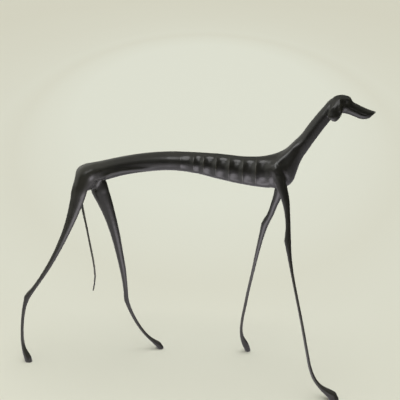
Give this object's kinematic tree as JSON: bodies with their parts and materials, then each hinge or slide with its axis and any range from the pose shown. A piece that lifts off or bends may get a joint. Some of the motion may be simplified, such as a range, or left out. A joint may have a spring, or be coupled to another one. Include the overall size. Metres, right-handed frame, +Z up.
{
  "type": "carved wooden sighthound sculpture",
  "caption": "Life-size, very slender standing dog carved from one piece of black-stained wood, with long splayed legs, arched back, carved ribs and a thin hanging tail.",
  "frame": {"origin": "on the floor, at the middle of the dog's length and of its width across the feet", "axes": "+X towards the head, +Z up; the dog's right flank faces -Y"},
  "size_m": [1.0848, 0.2772, 0.8974],
  "materials": {
    "stained_wood": "black-stained, oiled and waxed to a satin gloss"
  },
  "bodies": {
    "root": {"carved_dog": "stained_wood"}
  },
  "joints": []
}
